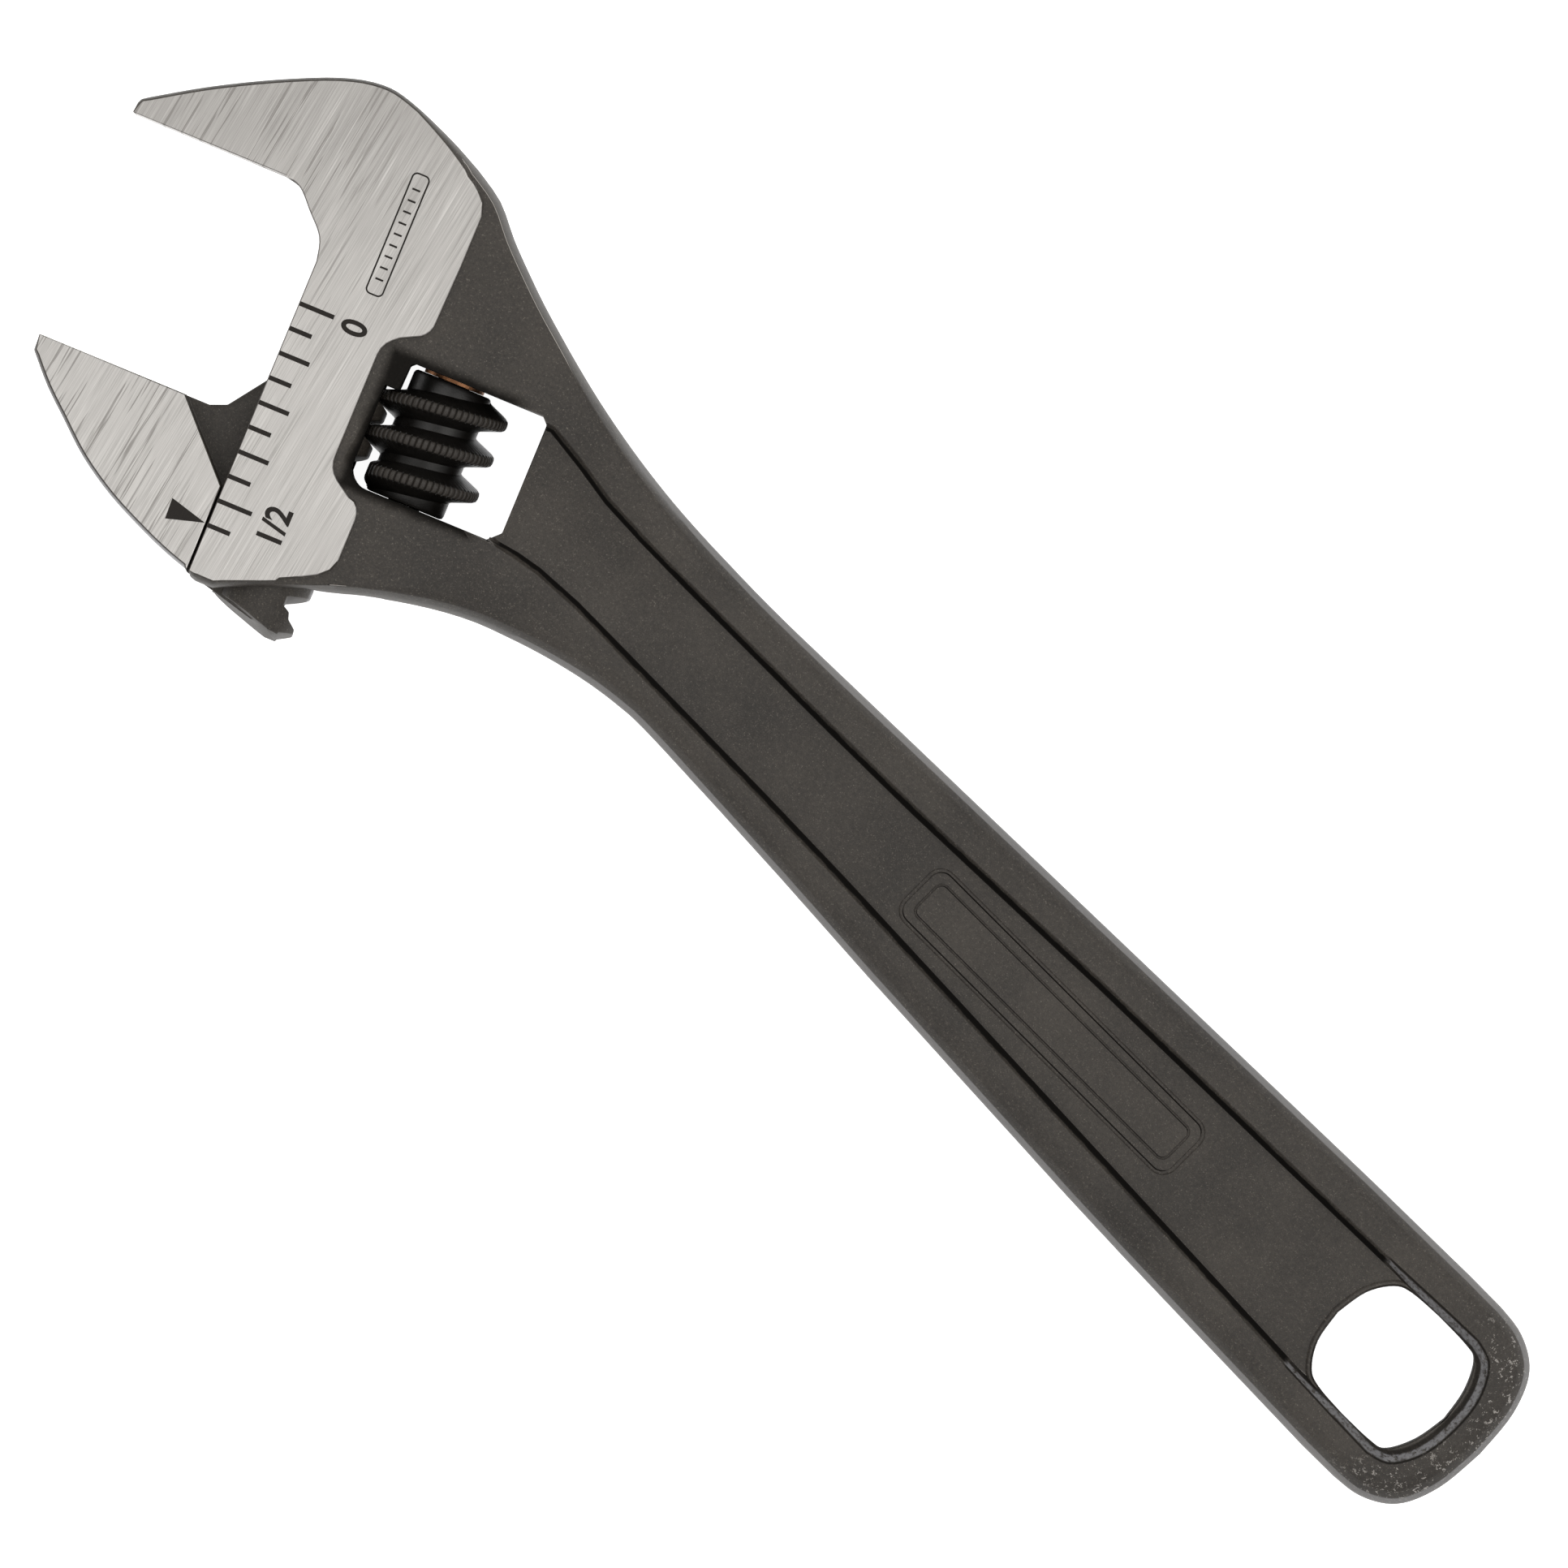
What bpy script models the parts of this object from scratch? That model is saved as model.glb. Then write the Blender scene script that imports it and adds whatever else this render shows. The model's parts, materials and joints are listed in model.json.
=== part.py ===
"""Adjustable wrench, 4 1/2 inch, lying on its back: forged body, sliding jaw, knurl, pin, spring and washer.

Dimensions are in millimetres and become metres where a mesh is made. The handle runs along +X and the ground
face looks up. The head has its own directions, turned from the handle: U runs from the jaw tips to the handle,
V runs up the slide towards the fixed jaw, and U = V = 0 is where the fixed jaw's face meets the scale edge.
"""

import math

import bmesh
import bpy
import numpy as np

MM = 0.001

# Whole tool
HANDLE_LENGTH = 84.9  # from the neck's end of the thickness taper to the handle end
HANDLE_WIDTH = 14.25  # across the widest place, by the hanging hole
HEAD_THICK = 8.0
HANDLE_THICK = 5.6
HEAD_ANGLE = math.radians(22.5)
HEAD_AT = (-14.93, 5.72)  # the head's U = V = 0, in the handle's directions
RELIEF = 0.22  # the forged neck lies this far below the ground faces

# Jaws and slide
JAW_LENGTH = 13.5
OPENING = 14.2875  # 9/16 inch
SHANK_R = 2.78
SLIDE_FIT = 0.07
SHANK_U = 4.55
WEB_THICK = 3.2
WEB_FIT = 0.08
EDGE_GAP = 0.12  # between the sliding jaw and the scale edge
RACK_ROOM = 0.36  # from the crest to the floor of the rack
TOOTH_TIP = 0.04  # least width of a tooth's tip
HORN_TIP = (7.15, -24.9)  # the rack's last half tooth
HORN_BACK = (6.6, -24.55)
STEP_ANGLE = math.radians(46.3)  # slope of the sliding jaw's back shoulder

# Knurl and what carries it
KNURL_U = 10.31
KNURL_TOP = -7.61
KNURL_LENGTH = 7.68
CREST_R = 3.94
HUB_R = 2.47
LEAD = 2.29
CREST_FLAT = 0.63
PITCH_R = 3.4
CREST_BREAK = 0.09  # the crest's two corners are broken by this much
THREAD_START = -1.3  # radians before the front
THREAD_STOP = 0.9  # below the knurl's top
RUN_OUT = 0.9  # radians over which the thread rises from the hub
HUB_SINK = 0.35
FLANK = math.radians(23)
FRONT_CREST_V = -13.91  # lowest crest, seen from the front
THREAD_FIT = 0.09
PIN_R = 1.0
PIN_FIT = 0.03
SPIN_FIT = 0.06
ROOT_GAP = 0.055
HUB_ROOM = 0.15  # from the hub to the tips of the rack
PIN_TOP = -5.0
PIN_END = -20.6
WASHER_R = 1.9
WASHER_THICK = 0.19
SPRING_WIRE_R = 0.17
SPRING_R = 1.42
SPRING_TURNS = 5.0
SPRING_POCKET = 3.3

# Window round the knurl
WINDOW_U = (6.6, 16.4)
WINDOW_V = (-15.43, -7.36)
WINDOW_ROUND = 1.3
WINDOW_NICK = 0.7
LUG_WIDTH = 0.92
LUG_LENGTH = 1.85
SCREW_ROOM = 0.12

# Handle
TAPER_X = (1.0, 16.0)
PANEL_DEPTH = 0.85
PANEL_WALL = 0.42
HOLE_LENGTH = 9.0
HOLE_WIDTH = 8.1
HOLE_FROM_END = 7.5
EDGE_ROUND = 1.5
DRAFT = 0.75

MID = HEAD_THICK / 2
HANDLE_END = TAPER_X[0] + HANDLE_LENGTH
HANDLE_MID = 0.78
WIDEN_X = 12.0  # the handle's width acts past here
STRETCH = (HANDLE_LENGTH - 15.0) / 69.9
BROADEN = HANDLE_WIDTH / 14.25


def along(x):
    """A place on the handle past the taper, moved with the handle's length."""
    return TAPER_X[1] + (x - 16.0) * STRETCH


def across(y):
    """A place across the handle, moved with the handle's width."""
    return HANDLE_MID + (y - HANDLE_MID) * BROADEN


def head_to_handle(u, v):
    c = math.cos(HEAD_ANGLE)
    s = math.sin(HEAD_ANGLE)
    return HEAD_AT[0] + u * c - v * s, HEAD_AT[1] + u * s + v * c


def curve(points, steps=3):
    """A smooth run through every point, with this many pieces between two of them."""
    p = np.array([points[0], *points, points[-1]], float)
    out = []
    for i in range(1, len(p) - 2):
        for k in range(steps):
            t = k / steps
            a, b, c, d = p[i - 1], p[i], p[i + 1], p[i + 2]
            bend = (2 * a - 5 * b + 4 * c - d) * t * t + (3 * b - a - 3 * c + d) * t ** 3
            out.append(tuple(b + 0.5 * ((c - a) * t + bend)))
    out.append(tuple(p[-2]))
    return out


def arc(centre, radius, start, end, steps):
    angles = np.radians(np.linspace(start, end, steps + 1))
    return [(centre[0] + radius * math.cos(a), centre[1] + radius * math.sin(a)) for a in angles]


def half_height(x):
    """Half the body's thickness at this place along the handle."""
    t = min(max((x - TAPER_X[0]) / (TAPER_X[1] - TAPER_X[0]), 0.0), 1.0)
    t = t * t * (3 - 2 * t)
    return MID + (HANDLE_THICK / 2 - MID) * t


def inward(outline):
    """At each point of an anticlockwise outline, the direction into it."""
    p = np.array(outline)
    ahead = np.roll(p, -1, axis=0) - p
    behind = p - np.roll(p, 1, axis=0)
    ahead /= np.linalg.norm(ahead, axis=1)[:, None]
    behind /= np.linalg.norm(behind, axis=1)[:, None]
    way = ahead + behind
    way /= np.linalg.norm(way, axis=1)[:, None]
    reach = np.clip((way * ahead).sum(axis=1), 0.6, 1.0)[:, None]
    return np.stack([-way[:, 1], way[:, 0]], axis=1) / reach


def mesh_object(name, points, faces, place=(0.0, 0.0, 0.0), turn=0.0):
    mesh = bpy.data.meshes.new(name)
    mesh.from_pydata([[c * MM for c in p] for p in points], [], [tuple(int(i) for i in f) for f in faces])
    form = bmesh.new()
    form.from_mesh(mesh)
    bmesh.ops.recalc_face_normals(form, faces=form.faces)
    if form.calc_volume(signed=True) < 0:
        bmesh.ops.reverse_faces(form, faces=form.faces)
    form.to_mesh(mesh)
    form.free()
    obj = bpy.data.objects.new(name, mesh)
    bpy.context.scene.collection.objects.link(obj)
    obj.location = [c * MM for c in place]
    obj.rotation_euler = (0.0, 0.0, turn)
    return obj


def rings_object(name, rings, caps, place, turn):
    """Rings of equally many points, from the lowest to the highest, joined by side faces and closed by caps."""
    count = len(rings[0])
    points = [p for ring in rings for p in ring]
    faces = []
    for level in range(len(rings) - 1):
        for i in range(count):
            j = (i + 1) % count
            low = level * count
            high = low + count
            faces.append((low + i, low + j, high + j, high + i))
    last = (len(rings) - 1) * count
    for cap in caps:
        faces.append([last + i for i in cap])
        faces.append([i for i in reversed(cap)])
    return mesh_object(name, points, faces, place, turn)


def prism(name, outline, low, high, place, turn, lean=0.0):
    """An outline raised from one height to another; lean shifts it along V with height."""
    rings = [[(u, v + lean * (z - MID), z) for u, v in outline] for z in (low, high)]
    return rings_object(name, rings, [range(len(outline))], place, turn)


def turned(name, profile, centre, place, turn, steps=48):
    """A closed profile of (radius, v) turned round an axis along V through centre = (u, z)."""
    count = len(profile)
    points = []
    for k in range(steps):
        a = 2 * math.pi * k / steps
        for r, v in profile:
            points.append((centre[0] + r * math.sin(a), v, centre[1] + r * math.cos(a)))
    faces = []
    for k in range(steps):
        n = (k + 1) % steps
        for i in range(count):
            j = (i + 1) % count
            faces.append((k * count + i, k * count + j, n * count + j, n * count + i))
    return mesh_object(name, points, faces, place, turn)


def rod(name, radius, low, high, centre, place, turn, steps=48):
    """A solid cylinder along V."""
    rings = []
    for v in (low, high):
        angles = [2 * math.pi * k / steps for k in range(steps)]
        rings.append([(centre[0] + radius * math.sin(a), v, centre[1] + radius * math.cos(a)) for a in angles])
    return rings_object(name, rings, [range(steps)], place, turn)


def boolean(target, other, operation):
    modifier = target.modifiers.new(other.name, "BOOLEAN")
    modifier.operation = operation
    modifier.solver = "EXACT"
    modifier.object = other
    other.hide_render = True
    other.display_type = "WIRE"


def finish(obj, material, angle=35):
    obj.data.materials.append(material)
    obj.data.shade_smooth()
    obj.data.set_sharp_from_angle(angle=math.radians(angle))


def metal(name, colour, roughness, metallic=1.0):
    material = bpy.data.materials.new(name)
    material.use_nodes = True
    shader = material.node_tree.nodes["Principled BSDF"]
    shader.inputs["Base Color"].default_value = (*colour, 1.0)
    shader.inputs["Roughness"].default_value = roughness
    shader.inputs["Metallic"].default_value = metallic
    return material


def body_outline():
    """The forging's silhouette, anticlockwise, each point with how far its top edge is set in."""
    out = []

    def add(points, inset):
        for p in points:
            if not out or math.dist(p, out[-1][:2]) > 1e-6:
                out.append((p[0], p[1], inset))

    def head(points):
        return [head_to_handle(u, v) for u, v in points]

    tip = -JAW_LENGTH
    throat = curve([(-3.7, 0.0), (-2.6, -0.3), (-1.5, -1.4), (-0.4, -2.6), (0.0, -4.0)], 5)
    add(head([(tip, 0.0), (tip * 0.55, 0.0)]), 0.0)
    add(head(throat), 0.0)
    add(head([(0.0, -13.0), (0.0, -23.95)]), 0.0)
    add(head([(0.2, -24.25)]), 0.3)
    add(head([(0.6, -24.38), (1.7, -24.38)]), 0.42)
    add(head([(2.3, -24.1), (4.5, -23.2), (6.8, -22.3)]), 0.42)
    add(head([(8.6, -21.88), (10.2, -21.35)]), 0.6)

    low_neck = [(1.0, -11.45), (2.875, -9.95), (4.75, -8.62), (6.625, -7.45), (8.5, -6.5), (10.375, -5.8)]
    low_neck += [(12.25, -5.18), (14.125, -4.67), (16.0, -4.27)]
    bottom = [(18.0, -4.0), (20.0, -3.9), (25.0, -4.08), (32.0, -4.42), (40.0, -4.9), (50.0, -5.4)]
    bottom += [(60.0, -5.85), (70.0, -6.15), (78.0, -6.34)]
    corner = [(80.6, -6.32), (82.2, -6.14), (83.5, -5.62), (84.5, -4.82), (85.2, -3.6), (85.7, -1.8), (85.9, 0.78)]
    top = [(25.0, 6.66), (32.0, 6.8), (40.0, 7.0), (50.0, 7.3), (60.0, 7.55), (70.0, 7.78), (78.0, 7.9)]
    stations = np.linspace(*TAPER_X, 19)
    low_run = curve(low_neck + bottom, 4)
    low_x = [p[0] for p in low_run]
    high_neck = [(-2.0, 9.8), (0.0, 9.2), (2.0, 8.65), (4.0, 8.15), (6.0, 7.73), (8.0, 7.38), (10.0, 7.1)]
    high_neck += [(12.0, 6.89), (14.0, 6.76), (16.0, 6.68), (20.0, 6.6)]
    high_run = curve(high_neck + top, 4)
    high_x = [p[0] for p in high_run]

    def low_edge(x):
        return float(np.interp(x, low_x, [p[1] for p in low_run]))

    def high_edge(x):
        return float(np.interp(x, high_x, [p[1] for p in high_run]))

    def blend(x):
        t = min(max((x - TAPER_X[0]) / (TAPER_X[1] - TAPER_X[0]), 0.0), 1.0)
        return DRAFT + (EDGE_ROUND - DRAFT) * t

    out[:] = [p for p in out if p[0] < TAPER_X[0] - 0.4]
    low_ids = []
    for x in stations:
        low_ids.append(len(out))
        y = low_edge(x)
        out.append((float(x), y if x < WIDEN_X else across(y), blend(x)))
    for x, y in low_run:
        if x > TAPER_X[1] + 0.1:
            out.append((along(x), across(y), EDGE_ROUND))
    from_x = 70.0
    stretch = (HANDLE_END - along(from_x)) / (corner[-1][0] - from_x)
    turn_out = curve([(along(from_x) + stretch * (x - from_x), across(y)) for x, y in corner], 4)
    out += [(x, y, EDGE_ROUND) for x, y in turn_out]
    out += [(x, 2 * HANDLE_MID - y, EDGE_ROUND) for x, y in reversed(turn_out[:-1])]
    for x, y in reversed(high_run):
        if x > TAPER_X[1] + 0.1:
            out.append((along(x), across(y), EDGE_ROUND))
    high_ids = []
    for x in reversed(stations):
        high_ids.append(len(out))
        y = high_edge(x)
        out.append((float(x), y if x < WIDEN_X else across(y), blend(x)))
    neck = curve([(0.0, 9.2), (-2.0, 9.8), (-4.0, 10.5), (-6.0, 11.27), (-8.2, 12.3), (-10.5, 12.7)], 3)
    out += [(x, y, DRAFT) for x, y in neck[1:]]
    crown = [(6.76, 4.75), (4.6, 5.8), (1.6, 6.95), (-0.4, 7.25), (-2.9, 6.68), (-6.4, 5.1), (-9.9, 3.2)]
    crown += [(-12.9, 1.3)]
    shoulder = head(curve([(u * JAW_LENGTH / 13.5 if u < 0 else u, v) for u, v in crown], 4))
    out += [(x, y, 0.2 + 0.4 * max(0.0, 1 - i / 6)) for i, (x, y) in enumerate(shoulder[1:])]
    out += [(x, y, 0.15) for x, y in head([(tip + 0.15, 0.98), (tip + 0.02, 0.7)])]
    return out, low_ids, list(reversed(high_ids))


EDGE_LEVELS = [(1.0, 1.0), (0.55, 0.93), (0.25, 0.76), (0.06, 0.42), (0.0, 0.0)]


def edge_rings(outline, insets, heights):
    """Rings whose edges round in towards both faces."""
    way = inward(outline)
    base = np.array(outline)
    levels = [(f, -g) for f, g in EDGE_LEVELS] + [(f, g) for f, g in reversed(EDGE_LEVELS[:-1])]
    rings = []
    for share, height in levels:
        flat = base + way * (np.array(insets) * share)[:, None]
        rings.append([(x, y, MID + height * h) for (x, y), h in zip(flat, heights)])
    return rings


def forging(place):
    """The body before any machining."""
    described, low_ids, high_ids = body_outline()
    outline = [p[:2] for p in described]
    insets = [p[2] for p in described]
    heights = [half_height(x) for x, _ in outline]
    rings = edge_rings(outline, insets, heights)
    count = len(outline)
    head_cap = list(range(low_ids[0] + 1)) + list(range(high_ids[0], count))
    end_cap = list(range(low_ids[-1], high_ids[-1] + 1))
    strips = []
    for i in range(len(low_ids) - 1):
        strips.append([low_ids[i], low_ids[i + 1], high_ids[i + 1], high_ids[i]])
    return rings_object("body", rings, [head_cap, end_cap, *strips], place, 0.0)


def relief_cutter(side, place):
    """Takes the forged neck below the ground face: everything on the handle's side of the ground area."""
    edge = [(5.2, 5.6), (5.75, 4.95), (7.0, 3.9), (7.85, 3.0), (8.1, 2.2), (8.1, -1.0), (8.0, -4.6)]
    edge += arc((6.75, -4.75), 1.25, -10, -55, 3)
    edge += [(6.35, -6.35)]
    edge += arc((6.95, -7.75), 1.45, 130, 180, 3)
    edge += [(5.5, -14.3)]
    edge += arc((6.95, -14.35), 1.45, 190, 235, 3)
    edge += [(7.1, -16.2)]
    edge += arc((6.75, -17.35), 1.3, 50, 0, 3)
    edge += [(8.05, -20.0), (7.8, -20.7), (7.2, -21.25), (6.3, -21.75), (5.2, -22.3), (4.4, -23.6)]
    outline = [(60.0, 20.0), (5.2, 20.0)] + edge + [(4.4, -50.0), (60.0, -50.0)]
    depth = (HEAD_THICK - RELIEF, HEAD_THICK + 3.0) if side > 0 else (-3.0, RELIEF)
    name = "relief_front" if side > 0 else "relief_back"
    return prism(name, outline, *depth, place, HEAD_ANGLE)


def window_cutter(place):
    """The window for the knurl, all but the lug in its corner by the rack."""
    (u0, u1), (v0, v1) = WINDOW_U, WINDOW_V
    r = WINDOW_ROUND
    n = WINDOW_NICK
    lug_u = u0 + LUG_WIDTH
    lug_v = v1 - LUG_LENGTH
    outline = [(u1 - n, v0), (u1, v0 + n), (u1, v1 - n * 0.6), (u1 - n * 0.6, v1)]
    outline += [(lug_u + 0.25, v1), (lug_u, v1 - 0.25), (lug_u - 0.05, lug_v + 0.1)]
    outline += [(lug_u - 0.15, lug_v), (u0, lug_v)]
    outline += arc((u0 + r, v0 + r), r, 180, 270, 8)
    return prism("window", outline, -1.0, HEAD_THICK + 1.0, place, HEAD_ANGLE)


def screw_room_cutter(place):
    """Clears the knurl's sweep, so that the lugs stay only near the two faces."""
    room = CREST_R + SCREW_ROOM
    return rod("screw_room", room, WINDOW_V[0] + WINDOW_ROUND, WINDOW_V[1], (KNURL_U, MID), place, HEAD_ANGLE)


def shank_top(u):
    """Height of the shank's slanted upper end, with the jaw fully open."""
    return -8.5 - (u - 1.77) * 0.405


def slide_cutters(place):
    """The round bore for the shank and the slot for its web."""
    r = SHANK_R + SLIDE_FIT
    bore = rod("bore", r, -40.0, 12.0, (SHANK_U, MID), place, HEAD_ANGLE)
    lid_low = [(u, shank_top(u) + OPENING + 0.25) for u in (SHANK_U - 8, SHANK_U + 8)]
    lid = prism("bore_lid", lid_low + [(12.55, 16.0), (-3.45, 16.0)], -2.0, HEAD_THICK + 2.0, place, HEAD_ANGLE)
    boolean(bore, lid, "DIFFERENCE")
    half = WEB_THICK / 2 + WEB_FIT
    top = shank_top(SHANK_U) + OPENING + 0.2
    slope = [(-5.5, 0.12), (-2.75, 0.12), (-1.8, 0.55), (-0.2, 2.75), (1.75, shank_top(1.75) + OPENING + 0.2)]
    outline = [(SHANK_U, -40.0), (SHANK_U, top)] + list(reversed(slope)) + [(-5.5, -40.0)]
    slot = prism("slot", outline, MID - half, MID + half, place, HEAD_ANGLE)
    return bore, slot


def pin_hole_cutter(place):
    return rod("pin_hole", PIN_R + PIN_FIT, -30.0, PIN_TOP, (KNURL_U, MID), place, HEAD_ANGLE)


def hole_outline():
    """The hanging hole, anticlockwise from its lower left."""
    x1 = HANDLE_END - HOLE_FROM_END + HOLE_LENGTH / 2
    x0 = x1 - HOLE_LENGTH
    h = HOLE_WIDTH / 2 * BROADEN
    mid = (x0 + x1) / 2
    right = [(mid, -h - 0.04), (mid + 2.3, -h + 0.02), (x1 - 1.2, -h + 0.35), (x1 - 0.35, -h * 0.5), (x1, 0.0)]
    left = [(mid, -h - 0.04), (mid - 2.2, -h + 0.12), (x0 + 1.25, -h + 0.6), (x0 + 0.35, -h * 0.5), (x0, 0.0)]
    right = curve(right, 5)
    left = curve(left, 5)
    low = list(reversed(left))[:-1] + right
    loop = low + [(x, -y) for x, y in reversed(low[1:-1])]
    return [(x, HANDLE_MID + y) for x, y in loop]


def hole_cutter(place):
    return prism("hanging_hole", hole_outline(), -1.0, HEAD_THICK + 1.0, place, 0.0)


def panel_cutter(side, place):
    """The recessed panel between the rails, running from the window to round the hanging hole."""
    end = HANDLE_END - HOLE_FROM_END
    reach = HOLE_LENGTH / 2
    h = HOLE_WIDTH / 2 * BROADEN
    low = [(-1.0, -3.6), (4.2, -2.7), (6.2, -2.5), (7.5, -2.18), (9.0, -1.92), (12.0, -1.75), (16.0, -1.8)]
    low += [(along(x), across(y)) for x, y in [(28.0, -1.97), (35.0, -2.15), (50.0, -2.8), (60.0, -3.15)]]
    low += [(end - reach, HANDLE_MID - h - 0.42)]
    low += [(end, HANDLE_MID - h - 0.62), (end + 2.6, HANDLE_MID - h - 0.7)]
    high = [(-1.0, 3.1), (2.2, 4.6), (3.6, 5.15), (6.2, 4.85), (9.0, 4.42), (12.0, 4.28), (16.0, 4.22)]
    high += [(along(x), across(y)) for x, y in [(28.0, 4.22), (35.0, 4.3), (50.0, 4.8), (60.0, 5.02)]]
    high += [(end - reach, HANDLE_MID + h + 0.42)]
    high += [(end, HANDLE_MID + h + 0.62), (end + 2.6, HANDLE_MID + h + 0.7)]
    bulge = [(reach - 0.55, -h - 0.25), (reach + 0.35, -h * 0.75), (reach + 0.8, -h * 0.38), (reach + 0.9, 0.0)]
    nose = [(end + x, HANDLE_MID + y) for x, y in curve([(2.6, -h - 0.7), *bulge], 4)][1:]
    nose += [(x, 2 * HANDLE_MID - y) for x, y in reversed(nose[:-1])]
    outer = low + nose + list(reversed(high))
    way = inward(outer)
    depth = []
    for x, _ in outer:
        near_hole = min(max((x - (end - reach)) / 2.0, 0.0), 1.0)
        depth.append(PANEL_WALL + near_hole * 0.36)
    inner = np.array(outer) + way * np.array(depth)[:, None]
    count = len(outer)
    rings = []
    for loop, lift in ((inner, -PANEL_DEPTH), (outer, 0.02), (outer, 3.0)):
        rings.append([(x, y, MID + side * (half_height(ox) + lift)) for (x, y), (ox, _) in zip(loop, outer)])
    if side < 0:
        rings.reverse()
    strips = [[i, i + 1, count - 2 - i, count - 1 - i] for i in range(6)]
    caps = [*strips, list(range(6, count - 6))]
    name = "panel_front" if side > 0 else "panel_back"
    return rings_object(name, rings, caps, place, 0.0)


def make_body(place, head_place, material):
    body = forging(place)
    for side in (1, -1):
        boolean(body, relief_cutter(side, head_place), "DIFFERENCE")
        boolean(body, panel_cutter(side, place), "DIFFERENCE")
    boolean(body, hole_cutter(place), "DIFFERENCE")
    boolean(body, window_cutter(head_place), "DIFFERENCE")
    boolean(body, screw_room_cutter(head_place), "DIFFERENCE")
    for cutter in slide_cutters(head_place):
        boolean(body, cutter, "DIFFERENCE")
    boolean(body, pin_hole_cutter(head_place), "DIFFERENCE")
    finish(body, material)
    return body


def thread_half_width(radius):
    """Half the thread's width at a radius; neighbouring turns never meet."""
    return min(CREST_FLAT / 2 + (CREST_R - radius) * math.tan(FLANK), LEAD / 2 - ROOT_GAP)


def rack_outline():
    """The shank in plan, with its rack, relative to the jaw's origin."""
    slope = math.tan(FLANK)
    floor = thread_half_width(CREST_R) + THREAD_FIT
    sharp_u = KNURL_U - CREST_R + (LEAD / 2 - TOOTH_TIP / 2 - floor) / slope
    tip_u = min(SHANK_U + SHANK_R + 0.4, KNURL_U - HUB_R - HUB_ROOM, sharp_u)
    rack_floor = KNURL_U - CREST_R - RACK_ROOM
    crest_v = FRONT_CREST_V - LEAD / 4
    reach = thread_half_width(KNURL_U - tip_u) + THREAD_FIT
    deep_u = KNURL_U - CREST_R - 0.05
    end_v = -24.05 - 0.252 * SHANK_U
    bottom = crest_v - LEAD * math.floor((crest_v + 24.0) / LEAD)
    below = bottom - LEAD + floor
    outline = [(-1.0, end_v + 1.2), (1.2, -24.35), (4.0, -25.12), (deep_u - 0.72, -25.62), (deep_u, -25.66)]
    shelf = below + (HORN_TIP[0] - deep_u) * slope
    outline += [(deep_u, below), (HORN_TIP[0], shelf)]
    outline += [(HORN_TIP[0], max(HORN_TIP[1], shelf + 0.15)), (HORN_BACK[0], max(HORN_BACK[1], shelf + 0.4))]
    end = [(tip_u, shank_top(tip_u))]
    gaps = math.ceil((shank_top(deep_u) + floor - bottom) / LEAD)
    for k in range(gaps):
        v = bottom + LEAD * k
        if k:
            outline.append((tip_u, v - reach))
            outline.append((deep_u, v - floor))
        else:
            outline.append((deep_u + 0.15, v - floor - 0.1))
        outline.append((rack_floor, v - floor * 0.7))
        if v + reach > shank_top(tip_u):
            end = [(rack_floor, shank_top(rack_floor))]
            break
        outline.append((rack_floor, v + floor * 0.7))
        outline.append((deep_u, v + floor))
        outline.append((tip_u, v + reach))
    outline += end + [(-1.0, shank_top(-1.0))]
    return outline


def make_jaw(head_place, material):
    """The sliding jaw: its thick nose, the web through the slot and the round shank with its rack."""
    origin = (SHANK_U, -OPENING)
    face = -OPENING
    tip = -JAW_LENGTH - 0.08
    back = (-4.19, face)
    foot = (-EDGE_GAP, face - (4.19 - EDGE_GAP) * math.tan(STEP_ANGLE))
    sole = curve([(-EDGE_GAP, -23.95), (-1.6, -23.5), (-3.4, -22.8), (-6.0, -21.6), (-8.4, -20.1), (-10.4, -18.4)], 4)
    sole += curve([(-10.4, -18.4), (-12.0, -17.0), (tip, -15.3)], 4)[1:]
    scale = (tip + EDGE_GAP) / (-13.58 + EDGE_GAP)
    outline = [(-EDGE_GAP + (u + EDGE_GAP) * scale, v) for u, v in reversed(sole)]
    edge = len(outline)
    outline += [foot, back, (tip * 0.6, face), (tip, face)]
    insets = [0.2] * edge + [0.0, 0.0, 0.0, 0.0]
    insets[edge - 1] = 0.0
    insets[0] = 0.15

    def moved(points):
        return [(u - origin[0], v - origin[1]) for u, v in points]

    c = math.cos(HEAD_ANGLE)
    s = math.sin(HEAD_ANGLE)
    place = (
        head_place[0] + origin[0] * c - origin[1] * s,
        head_place[1] + origin[0] * s + origin[1] * c,
        MID,
    )
    rings = edge_rings(moved(outline), insets, [MID] * len(outline))
    rings = [[(x, y, z - MID) for x, y, z in ring] for ring in rings]
    jaw = rings_object("movable_jaw", rings, [range(len(outline))], place, HEAD_ANGLE)

    web_top = [(-2.65, face - 0.03), (-1.65, face + 0.38), (-0.1, face + 2.54), (1.75, shank_top(1.75))]
    web = [(-1.2, -23.0), (-0.1, -24.05), (2.0, -24.55), (SHANK_U, -25.2), (SHANK_U, shank_top(SHANK_U))]
    web += list(reversed(web_top)) + [(-5.2, face - 0.03), (-5.6, -16.0)]
    half = WEB_THICK / 2
    web_piece = prism("web", moved(web), MID - half, MID + half, (place[0], place[1], 0.0), HEAD_ANGLE)

    shank = rod("shank", SHANK_R, -30.0, -5.0, (SHANK_U, MID), head_place, HEAD_ANGLE)
    lean = LEAD / (2 * math.pi * PITCH_R)
    plan = prism("rack_plan", rack_outline(), -1.0, HEAD_THICK + 1.0, head_place, HEAD_ANGLE, lean)
    boolean(shank, plan, "INTERSECT")
    boolean(jaw, web_piece, "UNION")
    boolean(jaw, shank, "UNION")
    finish(jaw, material)
    return jaw


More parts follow.
